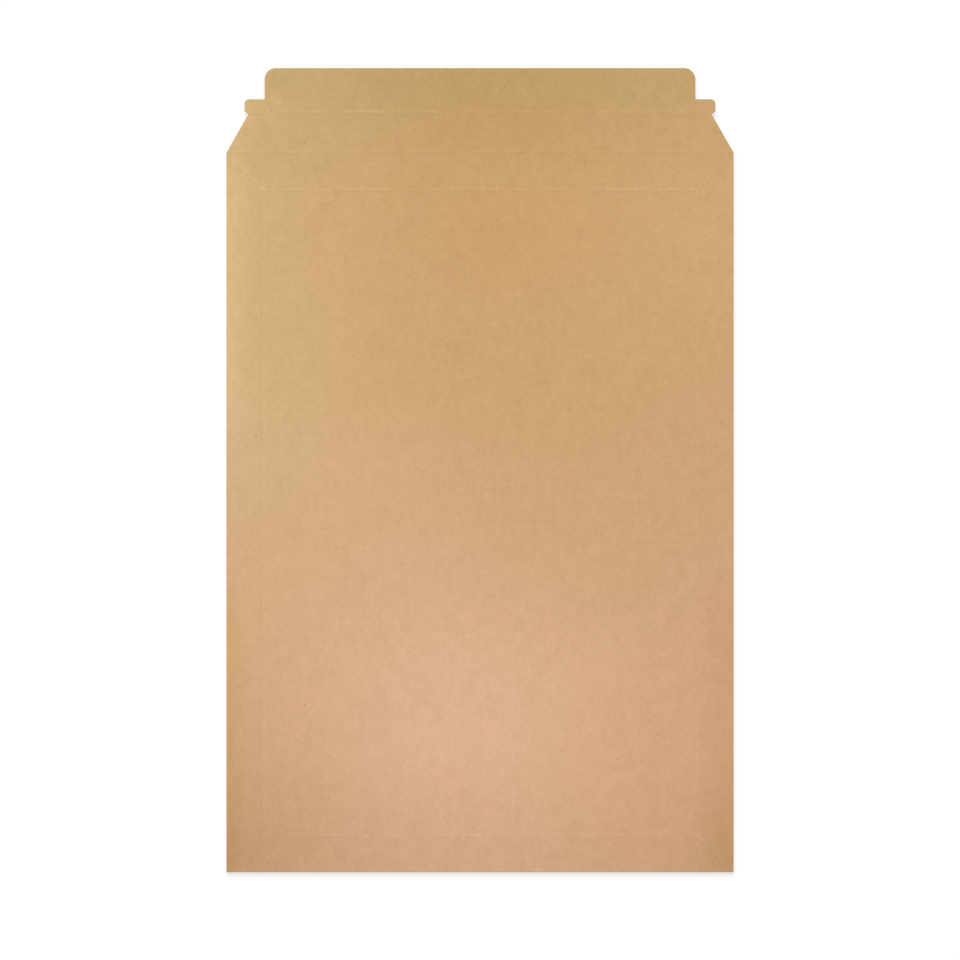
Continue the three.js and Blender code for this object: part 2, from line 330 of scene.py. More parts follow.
wrinkles = [
    wrinkle(p, q, 70 + i, crown)
    for i, (p, q, crown) in enumerate((
        ((135.4, 216.4), (139.8, 225.3), 0.03),
        ((139.8, 225.3), (143.1, 222.5), 0.03),
        ((150.6, 227.1), (153.0, 221.4), 0.02),
        ((-140.0, 209.4), (-131.4, 209.5), 0.03),
        ((-112.9, 220.5), (-114.4, 214.8), 0.03),
        ((-140.5, 212.9), (-114.4, 213.0), 0.035),
        ((-161.4, 231.4), (-154.0, 223.6), 0.06),
    ))
]
front_creases = panel_creases(
    FRONT_CENTRE_V + FRONT_CREASE_REACH,
    FRONT_CENTRE_V - FRONT_CREASE_REACH,
    ((0.14, 2.0, 0.004, 0.005),) * 2 + ((0.12, 1.7, 0.004, 0.005),) * 2
    + ((0.1, 1.5, 0.004, 0.005),) * 4,
    seed=40,
    step=3.5,
)
# The tone and crown here paint shading and a highlight along the crease as well.
fold_crease = Crease(
    (-HALF_WIDTH, FOLD_CREASE_Y),
    (HALF_WIDTH, FOLD_CREASE_Y),
    0.15,
    60,
    floor=0.4,
    tone=0.006,
    crown=0.008,
)
lip_crease = Crease(
    (-LIP_CREASE_END, LIP_CREASE_Y),
    (LIP_CREASE_END, LIP_CREASE_Y),
    0.15,
    61,
    fade=(3, 3),
    accent=(65, 60, 0.7),
    tone=0.014,
    crown=0.045,
)
flap_wrinkles_and_nick_shading = [
    wrinkle((148.6, 244.9), (153.9, 246.2), 80, 0.03),
    wrinkle((-114.4, 265.3), (-112.6, 265.5), 81, 0.05),
    wrinkle((-136.4, 271.7), (-130.1, 269.5), 82, 0.11, floor=0.7),
    wrinkle((136.4, 271.7), (131.5, 270.0), 83, 0.05, height=0.05, floor=0.7),
    # No relief here: only painted light and shade beside the left nick, paler on its left and
    # darker on its right.
    Crease((-138.7, 262.7), (-138.5, 267.0), 0.0, 84, 1.6, (0.5, 0.5), 0.8, tone=0.04),
]


def undulation(u, v, spans, seed):
    """A slow seeded wave over the plan, from -1 to 1."""
    draw = np.random.default_rng(seed)
    total = np.zeros_like(u)
    for span in spans:
        angle, phase = draw.uniform(0, math.pi), draw.uniform(0, 2 * math.pi)
        total += np.sin((u * math.cos(angle) + v * math.sin(angle)) * 2 * math.pi / span + phase)
    return total / len(spans)


def within_creases(u, rel):
    """1 in the middle of a panel, falling to 0 at its creases."""
    across = smooth(SWAY_HALF_X - np.abs(u), 0, SWAY_FADE_X)
    return across * smooth(rel, *SWAY_ENDS_Y) * smooth(-rel, *SWAY_ENDS_Y)


def pocket_sway(u, v):
    """How far the panels leave their planes, outwards."""
    sag = -within_creases(u, v) * (SAG + SAG_WAVE * undulation(u, v, (150, 210, 330), 3))
    wave = FRONT_WAVE * within_creases(u, v - FRONT_CENTRE_V) * undulation(u, v, (170, 260), 4)
    return sag + wave


def flap_sway(u, v):
    """The open lip hangs a little, most at its middle and at its corners."""
    out = smooth(v, STRIP_END + 2, TOP_Y)
    return -out * (HANG + HANG_WAVE * undulation(u, v, (120, 190), 5))


# From the blank to the folded board


def squared(turn, power):
    """How much further than a round fold a pressed one reaches at an angle."""
    return (np.abs(np.sin(turn)) ** power + np.abs(np.cos(turn)) ** power) ** (-1 / power)


def fold_pocket(u, v, h):
    """Where a point of the blank lies in the pocket, with laps and front panel folded in."""
    side, reach = np.sign(u), np.abs(u)
    x, y, z = u.copy(), v.copy(), BACK_Z + h
    lap = (v > LAP_Y) & (v < MOUTH_Y) & (reach > SIDE_FLAT_X)
    turn = np.clip((reach - SIDE_FLAT_X) / SIDE_ARC, 0, 1) * math.pi
    radius = (SIDE_INNER_RADIUS + h) * squared(turn, SIDE_SQUARENESS)
    past = np.maximum(reach - SIDE_FLAT_X - SIDE_ARC, 0)
    fold_z = BACK_Z - SIDE_INNER_RADIUS
    x = np.where(lap, side * (SIDE_FLAT_X + radius * np.sin(turn) - past), x)
    z = np.where(lap, fold_z + radius * np.cos(turn), z)
    low = v < BOTTOM_FLAT_Y
    turn = np.clip((BOTTOM_FLAT_Y - v) / BOTTOM_ARC, 0, 1) * math.pi
    radius = (BOTTOM_INNER_RADIUS + h) * squared(turn, BOTTOM_SQUARENESS)
    past = np.maximum(FRONT_V - v, 0)
    y = np.where(low, BOTTOM_FLAT_Y - radius * np.sin(turn) + past, y)
    z = np.where(low, BACK_Z - BOTTOM_INNER_RADIUS + radius * np.cos(turn), z)
    return np.stack([x, y, z], axis=1)


def fold_flat(u, v, h):
    """Where a point of the blank lies in the flap and its fold strip."""
    return np.stack([u, v, BACK_Z + h], axis=1)


# Sheets


def resample(points, spacing):
    """A closed outline with points added so that none of its edges is longer than the spacing."""
    out = []
    for i, a in enumerate(points):
        b = points[(i + 1) % len(points)]
        a, b = np.array(a, float), np.array(b, float)
        count = max(1, math.ceil(np.linalg.norm(b - a) / spacing - 1e-6))
        out += [a + (b - a) * k / count for k in range(count)]
    return out


def inside(points, outline):
    """Which points lie inside a closed outline."""
    x, y = points[:, 0], points[:, 1]
    hit = np.zeros(len(points), bool)
    for (x0, y0), (x1, y1) in zip(outline, outline[1:] + outline[:1]):
        if y0 != y1:
            crosses = (y0 > y) != (y1 > y)
            hit ^= crosses & (x < (x1 - x0) * (y - y0) / (y1 - y0) + x0)
    return hit


def near(points, segments, distance):
    """Which points lie closer to any of the segments than the distance."""
    close = np.zeros(len(points), bool)
    for a, b in segments:
        ab = b - a
        t = np.clip(((points - a) @ ab) / max(ab @ ab, 1e-9), 0, 1)
        close |= np.linalg.norm(points - (a + t[:, None] * ab), axis=1) < distance
    return close


def scatter(outline, segments, spacing):
    """Loose points over an outline, on a jittered triangular grid clear of the segments."""
    low, high = np.min(outline, axis=0), np.max(outline, axis=0)
    rows = np.arange(low[1], high[1], spacing * 0.866)
    found = []
    for i, y in enumerate(rows):
        xs = np.arange(low[0] + (i % 2) * spacing / 2, high[0], spacing)
        found.append(np.stack([xs, np.full_like(xs, y)], axis=1))
    points = np.concatenate(found)
    points = points + rng.uniform(-JITTER, JITTER, points.shape) * spacing
    points = points[inside(points, [tuple(p) for p in outline])]
    return points[~near(points, segments, spacing * CLEARANCE)]


class Sheet:
    """A board of one thickness: two skins over one triangulated plan, and walls between them.

    Edges that run across the blank on one of the plain levels are cut without open flutes.
    """

    def __init__(self, outline, lines, spacing, creases, sway, plain_levels, dents=()):
        self.creases, self.sway = creases, sway
        self.plain_levels, self.dents = plain_levels, dents
        self.vertices, self.faces, self.kinds = [], [], []
        edges = list(zip(outline, outline[1:] + outline[:1]))
        segments = [(np.array(a), np.array(b)) for a, b in edges]
        points = [Vector(p) for p in outline]
        constraints = []
        for line in lines:
            start = len(points)
            points += [Vector(p) for p in line]
            constraints += [(start + i, start + i + 1) for i in range(len(line) - 1)]
            segments += [(np.array(a), np.array(b)) for a, b in zip(line, line[1:])]
        points += [Vector(p) for p in scatter(outline, segments, spacing)]
        ring = list(range(len(outline)))
        made = delaunay_2d_cdt(points, constraints, [ring], 1, 1e-4)
        self.plan = np.array([tuple(p) for p in made[0]])
        self.triangles = [tuple(f) for f in made[2]]
        self.skins()
        self.walls()

    def vertex(self, u, v, h):
        """Adds a point of the blank, and gives its index."""
        self.vertices.append((u, v, h))
        return len(self.vertices) - 1

    def face(self, corners, kind):
        """Adds a face, unless too few of its corners differ."""
        kept = [c for i, c in enumerate(corners) if c != corners[i - 1]]
        if len(set(kept)) == len(kept) and len(kept) > 2:
            self.faces.append(kept)
            self.kinds.append(kind)

    def skins(self):
        """The outer face and the inner face, pressed in along the cuts."""
        count = len(self.plan)
        outer, inner = np.full(count, BOARD), np.zeros(count)
        for line, half, depth, back_depth in self.dents:
            shape = self.dent(line, half)
            outer += depth * shape
            inner += back_depth * shape
        self.vertices += [(u, v, h) for (u, v), h in zip(self.plan, outer)]
        self.vertices += [(u, v, h) for (u, v), h in zip(self.plan, inner)]
        for a, b, c in self.triangles:
            self.face((a, b, c), OUTER)
            self.face((count + c, count + b, count + a), INNER)

    def dent(self, line, half):
        """1 along a line of the plan, falling to 0 at the half width."""
        depths = np.zeros(len(self.plan))
        for a, b in zip(line, line[1:]):
            a, b = np.array(a), np.array(b)
            ab = b - a
            t = np.clip(((self.plan - a) @ ab) / (ab @ ab), 0, 1)
            d = np.linalg.norm(self.plan - (a + t[:, None] * ab), axis=1)
            depths = np.maximum(depths, np.clip(1 - d / half, 0, 1))
        return depths

    def boundary(self):
        """The indices round the plan's edge, in order."""
        following = {}
        directed = {(f[i - 1], f[i]) for f in self.triangles for i in range(3)}
        for a, b in directed:
            if (b, a) not in directed:
                following[a] = b
        start = min(following)
        loop = [start]
        while following[loop[-1]] != start:
            loop.append(following[loop[-1]])
        return loop

    def flute(self, u, v):
        """How many flutes lie between the blank's middle and a point."""
        return (u + FLUTE_SKEW * v) / PITCH + FLUTE_STRAY * math.sin(v * 0.11)

    def column(self, u, v, normal, depth):
        """Indices of a station's points down the wall, and of its hollows' inner ends."""
        low, high = LINER, BOARD - LINER
        wave = (high - low - MEDIUM) / 2 * math.sin(2 * math.pi * self.flute(u, v))
        crush = 0.5 + 0.5 * math.sin(u * 0.31 + v * 0.17) * math.sin(u * 0.083 - v * 0.029)
        centre = BOARD / 2 + wave * (1 - FLUTE_CRUSH * crush)
        top, bottom = centre + MEDIUM / 2, centre - MEDIUM / 2
        upper, lower = self.vertex(u, v, high), self.vertex(u, v, low)
        if depth < SHALLOWEST:
            return Column(upper, upper, lower, lower, upper, upper, lower, lower)
        iu, iv = u - normal[0] * depth, v - normal[1] * depth
        crest = inner_upper = inner_crest = upper
        if high - top > THINNEST:
            crest = self.vertex(u, v, top)
            inner_upper, inner_crest = self.vertex(iu, iv, high), self.vertex(iu, iv, top)
        trough = inner_lower = inner_trough = lower
        if bottom - low > THINNEST:
            trough = self.vertex(u, v, bottom)
            inner_lower, inner_trough = self.vertex(iu, iv, low), self.vertex(iu, iv, bottom)
        inner = (inner_upper, inner_crest, inner_trough, inner_lower)
        return Column(upper, crest, trough, lower, *inner)

    def is_plain(self, a, b):
        """Whether the edge from a to b is cut without open flutes."""
        level = abs(a[1] - b[1]) < NEAR
        return level and min(abs(a[1] - v) for v in self.plain_levels) < NEAR

    def walls(self):
        """The cut edges all round, with hollows between the flutes."""
        loop = self.boundary()
        count = len(self.plan)
        where = [self.plan[i] for i in loop]
        total = len(loop)
        normals, spans, plain = [], [], []
        for i in range(total):
            a, b = where[i], where[(i + 1) % total]
            spans.append(np.linalg.norm(b - a))
            e = (b - a) / spans[-1]
            normals.append(np.array([e[1], -e[0]]))
            plain.append(self.is_plain(a, b))
        turns = [math.acos(min(1, normals[i - 1] @ normals[i])) for i in range(total)]
        sharp = np.array([where[i] for i in range(total) if turns[i] > SHARP])
        rooms = [
            TURN_ROOM * min(spans[i - 1], spans[i]) / max(turns[i], 0.01) for i in range(total)
        ]

        def depth_at(point, normal, room):
            """As deep as a hollow goes without meeting another round a corner."""
            corner = np.linalg.norm(sharp - point, axis=1).min()
            return min(HOLLOW + HOLLOW_MORE * normal[1] ** 2, room, CORNER_ROOM * corner)

        columns, corners = [], []
        for i in range(total):
            normal = normals[i - 1] + normals[i]
            normal = normal / max(np.linalg.norm(normal), 1e-6)
            shut = plain[i - 1] or plain[i]
            depth = 0 if shut else depth_at(where[i], normal, rooms[i])
            corners.append(normal)
            columns.append(self.column(*where[i], normal, depth))
        for i in range(total):
            j = (i + 1) % total
            stations = [columns[i]]
            if not plain[i]:
                room = min(rooms[i], rooms[j])
                ends = [corners[k] if turns[k] < SHARP else normals[i] for k in (i, j)]
                stations += self.between(where[i], where[j], ends, room, depth_at)
            stations.append(columns[j])
            self.wall(loop[i], loop[j], count, stations)

    def between(self, a, b, ends, room, depth_at):
        """Stations along a straight piece of edge, at even steps of the flutes' wave.

        Their hollows turn from one end's normal to the other's, and so never cross.
        """
        start, stop = self.flute(*a) * STATIONS, self.flute(*b) * STATIONS
        first = math.ceil(min(start, stop) + STATION_MARGIN)
        last = math.floor(max(start, stop) - STATION_MARGIN)
        steps = sorted(range(first, last + 1), reverse=bool(stop < start))
        found = []
        for k in steps:
            share = (k - start) / (stop - start)
            spot = a + (b - a) * share
            normal = ends[0] * (1 - share) + ends[1] * share
            normal = normal / np.linalg.norm(normal)
            found.append(self.column(*spot, normal, depth_at(spot, normal, room)))
        return found

    def wall(self, a, b, count, stations):
        """The wall under one edge of the plan: liner, fluting with its hollows, liner."""
        middle = (len(stations) - 1) // 2
        for i, (here, there) in enumerate(zip(stations, stations[1:])):
            skin, back = (a, count + a) if i < middle else (b, count + b)
            for corners in (
                (skin, here.top, there.top),
                (here.bottom, back, there.bottom),
                (here.crest, here.trough, there.trough, there.crest),
                (there.top, here.top, here.inner_top, there.inner_top),
                (here.crest, there.crest, there.inner_crest, here.inner_crest),
                (there.inner_top, here.inner_top, here.inner_crest, there.inner_crest),
                (there.trough, here.trough, here.inner_trough, there.inner_trough),
                (here.bottom, there.bottom, there.inner_bottom, here.inner_bottom),
                (there.inner_trough, here.inner_trough, here.inner_bottom, there.inner_bottom),
            ):
                self.face(corners, CUT)
        self.face((a, stations[middle].top, b), CUT)
        self.face((stations[middle].bottom, count + a, count + b), CUT)

    def build(self, name, fold, materials):
        """The sheet as an object, pressed, waved and folded."""
        flat = np.array(self.vertices)
        u, v, h = flat.T
        raised = h + relief(self.creases, flat[:, :2]) + self.sway(u, v)
        # Painted shading and highlight along the creases, with a little burnish, kept for the
        # outer material.
        crease_shading_and_burnish = sum(c.crease_shading_and_burnish(flat[:, :2]) for c in self.creases)
        placed = fold(u, v, raised)
        return make_piece(name, placed, self.faces, flat, SHEET_SHARP, materials, self.kinds, crease_shading_and_burnish)


def make_piece(name, points, faces, plan, sharp_angle, materials, kinds=None, crease_shading_and_burnish=None):
    """An object from points in millimetres, with what its materials read at each point."""
    mesh = bpy.data.meshes.new(name)
    mesh.from_pydata((points * MM).tolist(), [], faces)
    if kinds is not None:
        mesh.polygons.foreach_set("material_index", kinds)
    place = mesh.attributes.new("plan", "FLOAT_VECTOR", "POINT")
    place.data.foreach_set("vector", plan.astype(np.float32).ravel())
    # The creases' painted light and shade, stored as a layer on the points.
    if crease_shading_and_burnish is not None:
        crease_shading_layer = mesh.attributes.new("crease_shading_and_burnish", "FLOAT", "POINT")
        crease_shading_layer.data.foreach_set("value", crease_shading_and_burnish.astype(np.float32))
    mesh.shade_smooth()
    mesh.set_sharp_from_angle(angle=math.radians(sharp_angle))
    for material in materials:
        mesh.materials.append(material)
    piece = bpy.data.objects.new(name, mesh)
    bpy.context.scene.collection.objects.link(piece)
    return piece


def relief(creases, plan):
    """Ridges and valleys together, without adding up where creases meet."""
    lifts = np.array([c.lift(plan) for c in creases])
    return lifts.max(axis=0, initial=0) + lifts.min(axis=0, initial=0)


def crease_lines(creases):
    """Rows of points along each crease, so that the mesh can carry its relief."""
    return [c.offset(step * c.half) for c in creases for step in CREASE_LINES]


def mirror(points):
    """The left half of an outline, from its right half."""
    return [(-x, y) for x, y in reversed(points)]


def arc(cx, cy, radius, start, stop, steps):
    """Points along an arc between two angles in degrees."""
    angles = [math.radians(start + (stop - start) * i / steps) for i in range(steps + 1)]
    return [(cx + radius * math.cos(a), cy + radius * math.sin(a)) for a in angles]


def joint_xs(half):
    """Places across a row on which two sheets meet, or on which a sheet folds."""
    return np.linspace(-half, half, JOINT_COLUMNS)


def pocket_sheet():
    """Back panel, bottom fold, front panel and laps in one sheet."""
    lap_end = SIDE_FLAT_X + SIDE_ARC
    lap_free = lap_end + LAP_REACH
    bottom_rows = [BOTTOM_FLAT_Y - BOTTOM_ARC * i / BOTTOM_STEPS for i in range(BOTTOM_STEPS + 1)]
    front_step = FRONT_V - FRONT_STEP
    front_mouth = FRONT_V - (MOUTH_Y - BOTTOM_FLAT_Y)
    right = [
        (FRONT_HALF_WIDTH, front_mouth),
        (FRONT_HALF_WIDTH, front_step),
        (HALF_WIDTH, front_step),
        *[(HALF_WIDTH, v) for v in reversed(bottom_rows)],
        (HALF_WIDTH, LAP_Y),
        (SIDE_FLAT_X, LAP_Y),
        (lap_end, LAP_Y + LAP_FOLD_INSET),
        (lap_free, LAP_Y + LAP_END_SLANT),
        (lap_free, MOUTH_Y - LAP_END_SLANT),
        (lap_end, MOUTH_Y - LAP_FOLD_INSET),
        (SIDE_FLAT_X, MOUTH_Y),
        (HALF_WIDTH, MOUTH_Y),
    ]
    top = [(x, STRIP_START) for x in reversed(joint_xs(HALF_WIDTH))]
    outline = [tuple(p) for p in resample(right + top + mirror(right), EDGE_SPACING)]
    creases = back_creases + wrinkles + front_creases
    lines = crease_lines(creases)
    lines += [[(x, v) for x in joint_xs(HALF_WIDTH)] for v in bottom_rows]
    for i in range(SIDE_STEPS + 1):
        x = SIDE_FLAT_X + SIDE_ARC * i / SIDE_STEPS
        inset = LAP_FOLD_INSET * i / SIDE_STEPS + (LAP_ROW_INSET if i < SIDE_STEPS else 0)
        vs = np.linspace(LAP_Y + inset, MOUTH_Y - inset, LAP_ROWS)
        lines += [[(side * x, v) for v in vs] for side in (-1, 1)]
    plain_levels = (STRIP_START, LAP_Y, MOUTH_Y)  # seam with the strip, and slits beside the laps
    return Sheet(outline, lines, POCKET_SPACING, creases, pocket_sway, plain_levels)


def strip_half(y):
    """Half the width of the fold strip and of the flap's shoulders."""
    return HALF_WIDTH - TAPER * max(0.0, y - TAPER_START_Y)


def still(u, v):
    """No waves at all."""
    return np.zeros_like(u)


def fold_sheet():
    """The strip of board that bends between the back panel and the flap."""
    rows = np.linspace(STRIP_START, STRIP_END, STRIP_ROWS)
    rows[np.argmin(np.abs(rows - TAPER_START_Y))] = TAPER_START_Y
    bottom = [(x, STRIP_START) for x in joint_xs(HALF_WIDTH)]
    top = [(x, STRIP_END) for x in reversed(joint_xs(strip_half(STRIP_END)))]
    right = [(strip_half(y), y) for y in rows[1:-1]]
    outline = [tuple(p) for p in bottom + right + top + mirror(right)]
    lines = [[(x, y) for x in joint_xs(strip_half(y))] for y in rows[1:-1]]
    plain_levels = (STRIP_START, STRIP_END)
    return Sheet(outline, lines, STRIP_SPACING, [fold_crease], still, plain_levels)


def flap_sheet():
    """Shoulders, tear band with its tabs and cuts, and glue lip."""
    low, up, lip = TAB_LOWER_RADIUS, TAB_UPPER_RADIUS, LIP_RADIUS
    right = [
        (strip_half(STRIP_END), STRIP_END),
        NOTCH,
        *arc(TAB_X - low, TAB_Y + low, low, -45, 0, 4),
        *arc(TAB_X - up, LIP_Y - up, up, 0, 90, 8),
        (LIP_X, LIP_Y),
        *arc(LIP_X - lip, TOP_Y - lip, lip, 0, 90, 12),
    ]
    bottom = [(x, STRIP_END) for x in joint_xs(strip_half(STRIP_END))][1:-1]
    outline = [tuple(p) for p in resample(bottom + right + mirror(right), EDGE_SPACING)]
    creases = [lip_crease] + flap_wrinkles_and_nick_shading
    dents, lines = [], crease_lines(creases)
    for side, half, depth in CUT_SIDES:
        for start, stop, press in CUTS:
            start, stop = (np.array((side * x, y)) for x, y in (start, stop))
            length = np.linalg.norm(stop - start)
            along = (stop - start) / length
            across = np.array([-along[1], along[0]])
            count = max(4, int(length / CUT_STEP))
            spots = [start + (stop - start) * i / count for i in range(count + 1)]
            for step in CUT_LINES:
                lines.append([tuple(p + across * step * half) for p in spots])
            dents.append(((start, stop), half, depth * press, CUT_BACK))
    return Sheet(outline, lines, FLAP_SPACING, creases, flap_sway, (STRIP_END,), dents)


# Strips on the flap's inner face


def band(name, material, half, middle, width, top, bottom, wobble, seed, curl=0.0):
    """A thin strip with softened long edges and slightly uneven sides, lying on the flap."""
    draw = np.random.default_rng(seed)
    xs = np.linspace(-half, half, int(2 * half / BAND_STEP) + 1)
    knots = xs[::6]
    low, high = (np.interp(xs, knots, draw.uniform(-wobble, 0, len(knots))) for _ in range(2))
    thick = top - bottom
    edge = min(BAND_EDGE, width * BAND_EDGE_SHARE)
    inner = np.linspace(0, 1, 7)
    section = [(0.0, BAND_EDGE_DROP), (edge, 1.0)]
    section += [(edge + (width - 2 * edge) * t, 1.0) for t in inner[1:-1]]
    section += [(width - edge, 1.0), (width, BAND_EDGE_DROP)]
    ring = [(w, s * thick) for w, s in section] + [(w, 0.0) for w, _ in reversed(section)]
    vertices, faces = [], []
    for i, x in enumerate(xs):
        squeeze = (width + low[i] + high[i]) / width
        ends = max(0.0, 1 - (half - abs(x)) / BAND_CURL)
        hang = curl * ends**2
        for w, drop in ring:
            y = middle - width / 2 - low[i] + w * squeeze
            sway = float(flap_sway(np.array([x]), np.array([y]))[0])
            vertices.append((x, y, top - drop + sway - hang))
    size = len(ring)
    for i in range(len(xs) - 1):
        for k in range(size):
            n = (k + 1) % size
            faces.append((i * size + k, i * size + n, (i + 1) * size + n, (i + 1) * size + k))
    last = (len(xs) - 1) * size
    pairs = len(section)
    for k in range(pairs - 1):
        m = size - 1 - k
        faces.append((k + 1, k, m, m - 1))
        faces.append((last + k, last + k + 1, last + m - 1, last + m))
    points = np.array(vertices)
    return make_piece(name, points, faces, points, BAND_SHARP, [material])


# Materials


class Graph:
    """A material's node tree, with short ways to add the nodes used here."""

    def __init__(self, name):
        self.material = bpy.data.materials.new(name)
        self.material.use_nodes = True
        self.tree = self.material.node_tree
        self.tree.nodes.clear()
        self.shader = self.add("ShaderNodeBsdfPrincipled")
        output = self.add("ShaderNodeOutputMaterial")
        self.link(self.shader.outputs[0], output.inputs["Surface"])
        plan = self.add("ShaderNodeAttribute")
        plan.attribute_name = "plan"
        self.plan = plan.outputs["Vector"]
        self.u, self.v, self.h = self.add("ShaderNodeSeparateXYZ", Vector=self.plan).outputs

    def link(self, source, target):
        """Joins two sockets."""
        self.tree.links.new(source, target)

    def put(self, socket, value):
        """Gives an input a value, or another node's output."""
        if isinstance(value, bpy.types.NodeSocket):
            self.link(value, socket)
        else:
            socket.default_value = value

    def add(self, kind, **values):
        """A new node with some of its inputs given."""
        node = self.tree.nodes.new(kind)
        for name, value in values.items():
            self.put(node.inputs[name], value)
        return node

    def math(self, operation, a, b=0.0):
        """A sum, product or the like of two numbers."""
        node = self.tree.nodes.new("ShaderNodeMath")
        node.operation = operation
        self.put(node.inputs[0], a)
        self.put(node.inputs[1], b)
        return node.outputs[0]

    def vector(self, operation, *values):
        """The same of up to three vectors, or a vector's length."""
        node = self.tree.nodes.new("ShaderNodeVectorMath")
        node.operation = operation
        for socket, value in zip(node.inputs, values):
            self.put(socket, value)
        return node.outputs["Value" if operation == "LENGTH" else "Vector"]

    def ramp(self, value, low, high, to_low=0.0, to_high=1.0):
        """A number brought softly from one range to another, and kept within it."""
        node = self.tree.nodes.new("ShaderNodeMapRange")
        node.interpolation_type = "SMOOTHSTEP"
        names = ("Value", "From Min", "From Max", "To Min", "To Max")
        for name, number in zip(names, (value, low, high, to_low, to_high)):
            self.put(node.inputs[name], number)
        return node.outputs[0]

    def mix(self, factor, a, b):
        """A colour between two others."""
        node = self.tree.nodes.new("ShaderNodeMix")
        node.data_type = "RGBA"
        self.put(node.inputs[0], factor)
        self.put(node.inputs[6], a)
        self.put(node.inputs[7], b)
        return node.outputs[2]

    def stretch(self, su, sv, sh=1.0, shift=(0.0, 0.0, 0.0)):
        """Plan coordinates scaled across and along the flutes and through the board."""
        return self.vector("MULTIPLY_ADD", self.plan, (su, sv, sh), shift)

    def noise(self, vector, detail=2.0, roughness=0.5, distortion=0.0):
        """A soft random tone, one wave to each unit of the vector."""
        node = self.add(
            "ShaderNodeTexNoise", Vector=vector, Scale=1.0, Detail=detail, Roughness=roughness,
            Distortion=distortion,
        )
        return node.outputs["Fac"]

    def blob(self, u, v, ru, rv):
        """1 at a point of the plan, falling softly to 0 at the given reach."""
        away = self.vector("LENGTH", self.stretch(1 / ru, 1 / rv, 0.0, (-u / ru, -v / rv, 0.0)))
        return self.ramp(away, 0.0, 1.0, 1.0, 0.0)

    def times(self, *factors):
        """Numbers multiplied."""
        total = factors[0]
        for factor in factors[1:]:
            total = self.math("MULTIPLY", total, factor)
        return total

    def fields(self, base, parts):
        """A base colour with soft tones added, each as strong as its mask."""
        total = base
        for mask, tone in parts:
            total = self.vector("MULTIPLY_ADD", mask, tone, total)
        return total

    def shade(self, color, amount):
        """The colour made paler or deeper by a share that varies over the surface."""
        share = self.vector("MULTIPLY_ADD", amount, SHADE_WEIGHTS, (1, 1, 1))
        return self.vector("MULTIPLY", color, share)

    def bump(self, height, distance):
        """Fine relief, without any change of the mesh."""
        node = self.add("ShaderNodeBump", Height=height, Distance=distance, Strength=1.0)
        self.link(node.outputs[0], self.shader.inputs["Normal"])

    def surface(self, color, roughness, gloss=0.5):
        """What the shader shows, with how strong its gloss is."""
        self.link(color, self.shader.inputs["Base Color"])
        self.link(roughness, self.shader.inputs["Roughness"])
        self.shader.inputs["Specular IOR Level"].default_value = gloss


def grain(g, strength=1.0):
    """Kraft liner's fine tone: mottling, fibres along the flutes, specks and pale hairs."""

    def centred(fac):
        """Noise about 0."""
        return g.math("SUBTRACT", fac, 0.5)

    mottle = centred(g.noise(g.stretch(0.15, 0.12), detail=4.5, roughness=0.95))
    streak = centred(g.noise(g.stretch(0.9, 0.25, shift=(31.0, 7.0, 0.0)), roughness=0.6))
    cloud = centred(g.noise(g.stretch(0.02, 0.017, shift=(3.0, 11.0, 5.0)), detail=1.0))
    speck = g.noise(g.stretch(0.95, 0.85, shift=(5.0, 3.0, 2.0)), detail=0.0)
    patch = g.noise(g.stretch(0.11, 0.09, shift=(9.0, 1.0, 4.0)), detail=0.0)
    hair = g.noise(g.stretch(0.95, 0.16, shift=(13.0, 17.0, 1.0)), detail=1.0, distortion=1.6)
    layers = (  # each with how much of it is added
        (mottle, 0.44),
        (streak, 0.05),
        (cloud, 0.045),
        (g.times(g.ramp(speck, 0.24, 0.14), g.ramp(patch, 0.38, 0.6)), -0.24),
        (g.times(g.ramp(speck, 0.72, 0.82), g.ramp(patch, 0.6, 0.42)), 0.11),
        (g.times(g.ramp(hair, 0.68, 0.76), g.ramp(patch, 0.64, 0.4)), 0.09),
    )
    parts = [g.math("MULTIPLY", layer, weight * strength) for layer, weight in layers]
    amount = parts[0]
    for part in parts[1:]:
        amount = g.math("ADD", amount, part)
    return amount, mottle


def board_bump(g, mottle, fine):
    """Paper tooth over a trace of the flutes underneath."""
    place = g.stretch(fine, fine * 0.6, shift=(2.0, 5.0, 8.0))
    tooth = g.noise(place, detail=3.0, roughness=0.65)
    across = g.math("ADD", g.u, g.math("MULTIPLY", g.v, FLUTE_SKEW))
    turn = g.math("MULTIPLY", across, 2 * math.pi / PITCH)
    flutes = g.math("MULTIPLY", g.math("SINE", turn), 0.14)
    height = g.math("ADD", g.math("ADD", tooth, flutes), g.math("MULTIPLY", mottle, 1.2))
    g.bump(height, 0.018 * MM)


